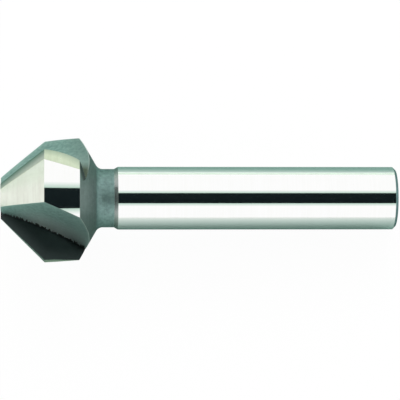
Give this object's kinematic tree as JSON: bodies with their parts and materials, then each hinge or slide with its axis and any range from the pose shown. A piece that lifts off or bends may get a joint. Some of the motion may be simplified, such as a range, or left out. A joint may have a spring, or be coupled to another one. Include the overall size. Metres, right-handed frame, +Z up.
{
  "type": "countersink bit",
  "caption": "Countersink bit with a ground right-angle cone, spiral-edged flutes, a relieved neck and a plain round shank, lying on its side.",
  "frame": {"origin": "centre of the bounding box's base, on the surface the bit lies on", "axes": "+Z up as the bit lies at rest; +X along the bit in plan, from the cutting tip to the free end of the shank"},
  "size_m": [0.0634, 0.0202, 0.0193],
  "materials": {
    "tool_steel": "ground and polished, bright"
  },
  "bodies": {
    "root": {"countersink_bit": "tool_steel"}
  },
  "joints": []
}
